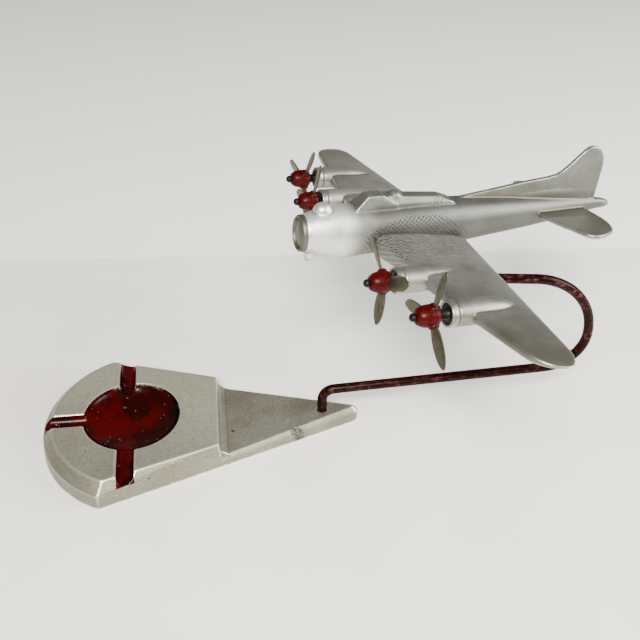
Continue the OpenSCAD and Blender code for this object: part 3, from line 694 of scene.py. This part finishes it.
# %% The Wire class
class Wire:
    """A socket that takes part in arithmetic."""

    def __init__(self, tree, socket=None):
        self.tree, self.socket = tree, socket

    def node(self, kind, settings=None, sockets=None, out=0):
        """Adds a node, sets it up, fills its sockets and returns one of its outputs."""
        made = self.tree.nodes.new(kind)
        for key, value in (settings or {}).items():
            if key == "stops":
                ramp = made.color_ramp
                while len(ramp.elements) < len(value):
                    ramp.elements.new(1)
                for element, (at, colour) in zip(ramp.elements, value):
                    element.position, element.color = at, (*colour, 1)
            else:
                setattr(made, key, value)
        for key, value in (sockets or {}).items():
            if isinstance(value, Wire):
                self.tree.links.new(value.socket, made.inputs[key])
            else:
                made.inputs[key].default_value = value
        return Wire(self.tree, made.outputs[out] if made.outputs else None)

    def maths(self, operation, *values):
        return self.node("ShaderNodeMath", {"operation": operation}, dict(enumerate(values)))

    def __add__(self, other):
        return self.maths("ADD", self, other)

    __radd__ = __add__

    def __sub__(self, other):
        return self.maths("SUBTRACT", self, other)

    def __rsub__(self, other):
        return self.maths("SUBTRACT", other, self)

    def __mul__(self, other):
        return self.maths("MULTIPLY", self, other)

    __rmul__ = __mul__

    def __truediv__(self, other):
        return self.maths("DIVIDE", self, other)

    def __pow__(self, other):
        return self.maths("POWER", self, other)

    def __neg__(self):
        return self * -1

    def root(self):
        return self.maths("SQRT", self)

    def size(self):
        return self.maths("ABSOLUTE", self)

    def wave(self):
        return self.maths("SINE", self)

    def least(self, other):
        return self.maths("MINIMUM", self, other)

    def most(self, other):
        return self.maths("MAXIMUM", self, other)

    def ramp(self, low, high):
        """0 below low, 1 above high and smooth between."""
        return self.node("ShaderNodeMapRange", {"interpolation_type": "SMOOTHSTEP"},
                         {"Value": self, "From Min": low, "From Max": high})

    def mix(self, other, share):
        """A blend of two colours, self where share is 0."""
        return self.node("ShaderNodeMix", {"data_type": "RGBA"}, {0: share, 6: self, 7: other},
                         out=2)

    def noise(self, scale, detail=3, rough=0.55):
        return self.node("ShaderNodeTexNoise", None,
                         {"Vector": self, "Scale": scale, "Detail": detail, "Roughness": rough})

    def spots(self, scale, jitter=1):
        """Distance to the nearest of a scatter of points."""
        return self.node("ShaderNodeTexVoronoi", None,
                         {"Vector": self, "Scale": scale, "Randomness": jitter})

    def colour(self, red, green, blue):
        made = self.tree.nodes.new("ShaderNodeCombineColor")
        for socket, value in zip(made.inputs, (red, green, blue)):
            socket.default_value = value
        return Wire(self.tree, made.outputs[0])

    def xyz(self):
        split = self.tree.nodes.new("ShaderNodeSeparateXYZ")
        self.tree.links.new(self.socket, split.inputs[0])
        return [Wire(self.tree, out) for out in split.outputs]

    def stretch(self, x, y, z, turn=(0, 0, 0)):
        return self.node("ShaderNodeMapping", None,
                         {"Vector": self, "Rotation": turn, "Scale": (x, y, z)})


def finish(name):
    """A new material: the material, a wire for its maths, and a function that ends it."""
    material = bpy.data.materials.new(name)
    material.use_nodes = True
    tree = material.node_tree
    tree.nodes.clear()
    start = Wire(tree)
    place = start.node("ShaderNodeTexCoord", out="Object")
    place = place.node("ShaderNodeMapping", None, {"Vector": place, "Scale": (1000, 1000, 1000)})

    def done(bump=None, bump_mm=0.1, **sockets):
        """Sets the surface shader. bump is a height from 0 to 1, worth bump_mm."""
        if bump is not None:
            sockets["Normal"] = start.node("ShaderNodeBump", None,
                                           {"Height": bump, "Strength": 1,
                                            "Distance": bump_mm * MM})
        surface = start.node("ShaderNodeBsdfPrincipled", None,
                             {key.replace("_", " "): value for key, value in sockets.items()})
        start.node("ShaderNodeOutputMaterial", None, {"Surface": surface})
        return material

    return place, done


def in_aeroplane(place):
    """A stand-frame position in mm as one in the level aeroplane."""
    return place.node("ShaderNodeMapping", {"vector_type": "TEXTURE"},
                      {"Vector": place, "Location": nose / MM, "Rotation": TURN})


print("the Wire class has", len([w for w in vars(Wire) if not w.startswith("_")]), "methods")

# %% [markdown]
# ## Worn edges and hollows
#
# Handling polishes the ridges of a casting and leaves dirt in its hollows. Each vertex of a casting
# can tell which it is on: smoothing would push a ridge inwards and a hollow outwards. A few rounds
# of averaging give that push at the scale of an edge, and it is kept as a number on the mesh.

# %% Measure the ridges
import numpy as np


def mark_ridges(piece, rounds=4):
    """Writes the attribute "ridge": about +1 on worn edges and -1 in hollows."""
    mesh = piece.data
    count = len(mesh.vertices)
    place = np.empty(count * 3)
    mesh.vertices.foreach_get("co", place)
    place = place.reshape(-1, 3)
    normal = np.empty(count * 3)
    mesh.vertices.foreach_get("normal", normal)
    normal = normal.reshape(-1, 3)
    ends = np.empty(len(mesh.edges) * 2, np.int64)
    mesh.edges.foreach_get("vertices", ends)
    a, b = ends.reshape(-1, 2).T
    near = np.bincount(a, minlength=count) + np.bincount(b, minlength=count)
    near = np.maximum(near, 1)

    def averaged(values):
        return np.stack([(np.bincount(a, v[b], count) + np.bincount(b, v[a], count)) / near
                         for v in values.T], 1)

    soft = place
    for _ in range(rounds):
        soft = averaged(soft)
    push = ((place - soft) * normal).sum(1, keepdims=True)
    for _ in range(2):
        push = averaged(push)
    push = np.clip(push[:, 0] / (0.16 * MM), -1, 1)
    mesh.attributes.new("ridge", "FLOAT", "POINT").data.foreach_set("value", push.astype("f"))
    print(piece.name, "ridge from", round(float(push.min()), 2), "to", round(float(push.max()), 2))


for name in ("ash_tray_base", "fuselage_casting", "port_wing_casting", "starboard_wing_casting"):
    mark_ridges(pieces[name])

# %% [markdown]
# ## Cast aluminium
#
# Old cast aluminium is a warm, cloudy grey. It has fine grain, a few dark blowholes, brush marks
# from cleaning and brighter metal on its edges. The base has a second finish on the same surface:
# red enamel in the bowl and the rests. Where the enamel ends follows from the shapes that cut the
# bowl and the rests, with some noise for its ragged rim, and its chips show pale metal.
#
# The colour is uneven too. A painted highlight makes the nose paler and painted shade darkens the
# hull aft of the cockpit. The inner wings are paler and the tailplane darker, so those colours
# change with the place along and across the aeroplane.

# %% The base's finish
place, done = finish("cast_aluminium_base")
x, y, z = place.xyz()
ridge = place.node("ShaderNodeAttribute", {"attribute_name": "ridge"}, out="Fac")
cloud = place.noise(0.035, 4, 0.6)
grain = place.noise(1.3, 4, 0.7)
fine = place.noise(4.5, 2, 0.6)
speck = place.noise(0.85, 5, 0.8)
ragged = place.noise(0.9, 3, 0.65) - 0.5

bowl_edge = (x * x + y * y).root() - (BOWL_R + 0.25)
side_edge = (x + REST_AHEAD + y * tan(radians(REST_TURN))).size() - (REST_R + 0.05)
front_edge = ((y + REST_ASIDE).size() - (REST_R + 0.05)).most(x)
in_red = bowl_edge.least(side_edge).least(front_edge)
below_top = (THICK_TOP - 0.12) - z
on_bevel = z - (THICK_WALL + 0.9)
red = (ragged * 0.9 - in_red).ramp(-0.15, 0.15) * (below_top + ragged * 0.25).ramp(-0.1, 0.1)
red = red * (on_bevel + ragged * 0.6).ramp(-0.3, 0.3).most((-bowl_edge).ramp(0, 0.1))
chips = (place.spots(0.34).ramp(0.17, 0.1) * place.noise(0.11, 2).ramp(0.54, 0.6)
         * (-in_red).ramp(0.5, 1.5))
rim_wear = ((in_red + 1.0 + ragged * 3.4).ramp(0, 1.2) * cloud.ramp(0.5, 0.58)
            * (-bowl_edge).ramp(-2, 0))
red = red * (1 - chips * 0.85) * (1 - rim_wear * 0.55)

pits = place.spots(0.115).ramp(0.085, 0.05) * place.noise(0.05, 1).ramp(0.5, 0.58)
specks = place.spots(0.42).ramp(0.11, 0.06) * place.noise(0.16, 2).ramp(0.5, 0.62)
SCAR_X, SCAR_Y = 105.5, -16.5
BLOW_X, BLOW_Y, BLOW_R = 64, -11, 1.5
scar_x, scar_y = x - SCAR_X, y - SCAR_Y
scar = ((1 - (scar_x * scar_x / 28 + scar_y * scar_y / 6.5 + ragged * 3)).ramp(0, 0.4)
        * speck.ramp(0.42, 0.5))
blow_x, blow_y = x - BLOW_X, y - BLOW_Y
blowhole = (BLOW_R - (blow_x * blow_x + blow_y * blow_y).root() - ragged * 2.2).ramp(0, 0.4)
dull = (pits.most(specks * 0.7)).most(scar * 0.95).most(blowhole)
thick = 1 - (x - STEP_X + 2).ramp(0, 3)
metal = place.colour(0.19, 0.177, 0.133).mix(place.colour(0.26, 0.25, 0.20), cloud.ramp(0.35, 0.65))
# Painted light: the thick part is painted paler, more so towards its far side and the step.
metal = metal.mix(place.colour(0.50, 0.485, 0.37),
                  thick * (0.3 + (y + x * 0.4).ramp(-48, 30) * 0.6))
# Painted shade: below its top face the thick part's bevel and walls are painted darker.
metal = metal.mix(place.colour(0.15, 0.141, 0.102), thick * (THICK_TOP - 0.5 - z).ramp(0, 1) * 0.6)
metal = metal.mix(place.colour(0.11, 0.10, 0.06), speck.ramp(0.5, 0.66) * 0.55)
metal = metal.mix(place.colour(0.60, 0.59, 0.50), (1 - speck).ramp(0.52, 0.68) * 0.35)
metal = metal.mix(place.colour(0.58, 0.565, 0.49), ridge.ramp(0.35, 0.95) * 0.7)
metal = metal.mix(place.colour(0.10, 0.087, 0.059), (-ridge).ramp(0.2, 0.8) * 0.5)
metal = metal.mix(place.colour(0.03, 0.026, 0.02), dull)
enamel = place.colour(0.034, 0.0001, 0.0001).mix(place.colour(0.010, 0.0001, 0.0001),
                                               place.noise(0.06, 3).ramp(0.4, 0.62))
# Painted shadow: the enamel darkens towards the bowl's wall on the step side, past x = 14 mm.
enamel = enamel.mix(place.colour(0.0015, 0.0001, 0.0001), (x - 14).ramp(0, 14) * 0.9)
enamel = enamel.mix(place.colour(0.06, 0.001, 0.001),
                    place.noise(0.7, 4, 0.7).ramp(0.62, 0.8) * 0.5)
brushed = place.stretch(0.22, 2.4, 1, (0, 0, radians(12))).noise(1, 3, 0.6)
height = (grain * 0.35 + fine * 0.2 + brushed * 0.25) * (1 - red) + red * 0.75 - dull * 0.8
base_finish = done(
    bump=height, bump_mm=0.13,
    Base_Color=metal.mix(enamel, red),
    Metallic=(1 - red) * 0.82 * (1 - dull),
    Roughness=(0.47 + (grain - 0.5) * 0.25 - ridge.ramp(0.1, 0.8) * 0.12) * (1 - red) + red * 0.2
    + red * place.noise(0.5, 3).ramp(0.45, 0.8) * 0.18,
    Coat_Weight=red * 0.04, Coat_Roughness=0.1, Specular_IOR_Level=0.07)
print("base finish ready")

# %% The aeroplane's finish
HATCH = 1.55


def airframe_finish(name, hatch):
    """Cast aluminium with tarnish, brush marks and the hatching punched round the wing roots."""
    place, done = finish(name)
    level = in_aeroplane(place)
    x, y, z = level.xyz()
    ridge = place.node("ShaderNodeAttribute", {"attribute_name": "ridge"}, out="Fac")
    cloud = level.noise(0.04, 4, 0.6)
    grain = level.noise(1.5, 4, 0.7)
    fine = level.noise(5, 2, 0.6)
    out = y.size()
    if hatch:
        arch_x, arch_z = (x - 68) / 36, (z + 8) / 17.5
        on_side = (1.0 - (arch_x * arch_x + arch_z * arch_z)) * (out - 4).ramp(3, 6)
        on_wing = (44 - out) / 26 * (1 - ((x - 68) / 34) ** 4).most(0)
        side_share = (17.5 - out).ramp(0, 2)
        reach = on_side * side_share + on_wing * (1 - side_share)
        where = (reach + (cloud - 0.5) * 0.5).ramp(0.02, 0.2)
        wobble = (level.noise(0.3, 2) - 0.5) * 1.6
        along, across = x * 0.8 + z * 0.9 + y * 0.5 + wobble, x * 0.6 - z * 1.1 - out * 0.75
        row = (across * (2 * pi / HATCH)).wave()
        step = (along * (2 * pi / (HATCH * 1.7)) + row * 0.9 + wobble * 2).wave()
        dash = (row.ramp(-0.1, 0.7) * step.ramp(-0.5, 0.3)) * where
    else:
        dash = 0
    pits = (level.spots(0.36).ramp(0.16, 0.08) * (level.noise(0.11, 2)
            + (30 - x).ramp(0, 22) * 0.06).ramp(0.53, 0.62))
    metal = place.colour(0.160, 0.158, 0.133).mix(place.colour(0.225, 0.225, 0.200),
                                                cloud.ramp(0.35, 0.65))
    hull = (16.5 - out).ramp(0, 1.5)
    above = (z - 12).ramp(0, 4)
    # Painted shade: the hull darkens aft of x = 30 mm, less on its top.
    metal = metal.mix(place.colour(0.062, 0.062, 0.056),
                      hull * (x - 30).ramp(0, 16) * (0.78 - above * 0.4))
    # Painted highlight: the front of the hull is painted pale. The nose cap, without hatching, gets
    # a darker colour towards its front instead.
    if hatch:
        metal = metal.mix(place.colour(0.70, 0.70, 0.66), (34 - x).ramp(0, 12) * hull * 0.9)
    else:
        metal = metal.mix(place.colour(0.07, 0.066, 0.05), (14 - x).ramp(0, 12) * 0.75)
    bright = (out - 14).ramp(0, 3) * (80 - out).ramp(0, 45) * 0.45 + (y - 14).ramp(0, 3) * 0.4
    metal = metal.mix(place.colour(0.33, 0.325, 0.285), bright * (150 - x).ramp(0, 10))
    metal = metal.mix(place.colour(0.11, 0.104, 0.07), (out - 95).ramp(0, 45) * 0.45
                      + (x - 150).ramp(0, 10) * (out - 6).ramp(0, 4) * 0.6)
    metal = metal.mix(place.colour(0.10, 0.092, 0.06), grain.ramp(0.5, 0.72) * 0.45)
    metal = metal.mix(place.colour(0.310, 0.310, 0.290), ridge.ramp(0.3, 0.9) * 0.5)
    tarnish = (-ridge).ramp(0.05, 0.6) * 0.8 + (level.noise(0.07, 3)).ramp(0.55, 0.7) * 0.3
    metal = metal.mix(place.colour(0.085, 0.075, 0.045), tarnish.least(1))
    metal = metal.mix(place.colour(0.07, 0.06, 0.05), pits)
    metal = metal.mix(place.colour(0.035, 0.031, 0.02), dash * 0.85)
    brushed = level.stretch(0.16, 2.2, 2.2, (0, 0, radians(-20))).noise(1, 3, 0.6)
    return done(
        bump=grain * 0.3 + fine * 0.15 + brushed * 0.35 - pits * 0.8 - dash * 4.2, bump_mm=0.12,
        Base_Color=metal, Metallic=0.85 * (1 - pits),
        Roughness=0.44 + (brushed - 0.5) * 0.22 + (cloud - 0.5) * 0.2
        - ridge.ramp(0.1, 0.8) * 0.1, IOR=1.5)


air_finish = airframe_finish("cast_aluminium_airframe", True)
cap_finish = airframe_finish("cast_aluminium_nose", False)
print("airframe finishes ready")

# %% [markdown]
# ## Turned metal, enamel and steel
#
# The cowl rings still show the lathe's fine rings. The blades are thin and polished along their
# length. The rod's maroon enamel has worn to a pinkish undercoat where hands slide along it, and
# the hubs wear a brighter, thicker red. The pins and engine faces are black, and the nut and washer
# under the base are plain plated steel.

# %% Small finishes
place, done = finish("turned_aluminium_cowls")
level = in_aeroplane(place)
rings = level.stretch(5, 0.25, 0.25).noise(1, 3, 0.6)
cloud = level.noise(0.4, 3, 0.6)
metal = place.colour(0.276, 0.270, 0.240).mix(place.colour(0.144, 0.132, 0.102),
                                              cloud.ramp(0.5, 0.72))
cowl_finish = done(bump=rings, bump_mm=0.06, Base_Color=metal, Metallic=0.95,
                   Roughness=0.3 + rings * 0.2)

place, done = finish("sheet_aluminium_blades")
cloud = place.noise(0.25, 4, 0.65)
scratch = place.stretch(0.5, 4, 4, (0.4, 0.9, 0.3)).noise(1, 3, 0.65)
metal = place.colour(0.080, 0.075, 0.046).mix(place.colour(0.058, 0.053, 0.030),
                                              cloud.ramp(0.45, 0.7))
blade_finish = done(bump=scratch, bump_mm=0.05, Base_Color=metal, Metallic=0.92,
                    Roughness=0.33 + scratch * 0.22)

place, done = finish("maroon_enamel_rod")
x, y, z = place.xyz()
patch = place.noise(0.28, 4, 0.7)
streak = place.stretch(0.12, 0.9, 0.6).noise(1, 4, 0.7)
worn = (patch * 0.55 + streak * 0.45).ramp(0.5, 0.62)
paint = place.colour(0.006, 0.0002, 0.0002).mix(place.colour(0.12, 0.034, 0.027),
                                                 worn * (z - 40).ramp(-60, 60).most(0.6) * 0.6)
paint = paint.mix(place.colour(0.02, 0.002, 0.002), place.noise(0.9, 3, 0.6).ramp(0.58, 0.72) * 0.6)
rod_finish = done(bump=patch * 0.6 + streak * 0.4, bump_mm=0.1, Base_Color=paint,
                  Roughness=0.3 + worn * 0.22, Coat_Weight=0.04 - worn * 0.03, Coat_Roughness=0.15,
                  Specular_IOR_Level=0.05)

place, done = finish("red_enamel_hubs")
patch = place.noise(0.55, 4, 0.7)
paint = place.colour(0.045, 0.0002, 0.0002).mix(place.colour(0.016, 0.0001, 0.0001),
                                                patch.ramp(0.42, 0.6))
paint = paint.mix(place.colour(0.16, 0.03, 0.024), place.noise(1.1, 4, 0.75).ramp(0.64, 0.74) * 0.5)
hub_finish = done(bump=patch, bump_mm=0.12, Base_Color=paint, Roughness=0.3 + patch * 0.2,
                  Coat_Weight=0.03, Coat_Roughness=0.08, Specular_IOR_Level=0.07)

place, done = finish("black_enamel_engines")
patch = place.noise(0.9, 3, 0.6)
paint = place.colour(0.003, 0.0025, 0.0025).mix(place.colour(0.014, 0.011, 0.01),
                                              patch.ramp(0.5, 0.75))
black_finish = done(bump=patch, bump_mm=0.06, Base_Color=paint, Roughness=0.32 + patch * 0.2,
                    Specular_IOR_Level=0.15)

place, done = finish("plated_steel")
patch = place.noise(1.4, 3, 0.6)
metal = place.colour(0.52, 0.5, 0.47).mix(place.colour(0.25, 0.2, 0.15), patch.ramp(0.55, 0.75))
steel_finish = done(bump=patch, bump_mm=0.04, Base_Color=metal, Metallic=0.95,
                    Roughness=0.3 + patch * 0.25)
print("materials:", len(bpy.data.materials))

# %% Put the finishes on
FINISH = {"cast_base": base_finish, "cast_airframe": air_finish,
          "turned_aluminium": cowl_finish, "blade_aluminium": blade_finish,
          "rod_enamel": rod_finish, "hub_enamel": hub_finish, "black_enamel": black_finish,
          "plated_steel": steel_finish}


def dress(piece, material):
    piece.data.materials.clear()
    piece.data.materials.append(material)


for name, piece in pieces.items():
    dress(piece, FINISH[slots[name]])
dress(pieces["nose_cap"], cap_finish)
for name in ENGINES:
    dress(frame["nodes"][name + "_pin"], black_finish)
for name in ("base_nut", "base_washer"):
    dress(frame["nodes"][name], steel_finish)
print("dressed", len(pieces), "pieces and", len(ENGINES) + 2, "CAD nodes")

# %% [markdown]
# ## Camera, table and light
#
# The camera looks down on the model from ahead of its port side with a moderate lens. The table is
# plain off-white, with a faintly lighter strip beyond its far edge. The main light is a soft window
# above the camera. A second, cooler one on the right gives the metal its edges, and a dim room
# fills the shadows.

# %% Camera
camera = bpy.data.objects.new("camera", bpy.data.cameras.new("camera"))
bpy.context.scene.collection.objects.link(camera)
right = Vector((0.9921, -0.1238, 0.0181)).normalized()
ahead = Vector((0.1095, 0.7889, -0.6046)).normalized()
up = right.cross(ahead)
right = ahead.cross(up)
camera.matrix_world = (Matrix.Translation(Vector((64.28, -411.07, 399.80)) * MM)
                       @ Matrix((right, up, -ahead)).transposed().to_4x4())
camera.data.lens, camera.data.sensor_width = 47.8125, 36
camera.data.clip_start = 0.01
bpy.context.scene.camera = camera
print("camera at", [round(v, 3) for v in camera.matrix_world.translation])

# %% Table
bm = bmesh.new()
bmesh.ops.create_grid(bm, x_segments=2, y_segments=2, size=4)
floor = shown("table", bm, smooth=False)
place, done = finish("off_white_table")
x, y, z = place.xyz()
far = (y + x * 0.06 - 213).ramp(-1.5, 1.5)
paper = place.colour(0.735, 0.73, 0.69).mix(place.colour(0.715, 0.70, 0.64),
                                            place.noise(0.012, 3).ramp(0.4, 0.65))
paper = paper.mix(place.colour(0.84, 0.83, 0.78), far)
dress(floor, done(bump=place.noise(0.5, 3), bump_mm=0.05, Base_Color=paper, Roughness=0.6))
print("table ready")


# %% Lights
def window(name, place, aim, width, height, power, colour):
    """A soft rectangular light that faces a point, in metres."""
    light = bpy.data.lights.new(name, "AREA")
    light.shape, light.size, light.size_y = "RECTANGLE", width, height
    light.energy, light.color = power, colour
    lamp = bpy.data.objects.new(name, light)
    bpy.context.scene.collection.objects.link(lamp)
    lamp.location = place
    toward = Vector(aim) - Vector(place)
    lamp.rotation_euler = toward.to_track_quat("-Z", "Y").to_euler()
    return lamp


window("key_above_camera", (-0.12, -1.15, 1.3), (0.1, 0, 0.05), 0.55, 0.5, 88, (1, 0.985, 0.955))
window("window_right", (1.35, -0.35, 0.7), (0.15, 0, 0.08), 0.8, 0.8, 42, (0.97, 0.985, 1))
world = bpy.data.worlds.new("room")
world.use_nodes = True
world.node_tree.nodes["Background"].inputs["Color"].default_value = (0.95, 0.95, 0.93, 1)
world.node_tree.nodes["Background"].inputs["Strength"].default_value = 0.36
bpy.context.scene.world = world
print("lights: a key, a window and a dim room")

# %% [markdown]
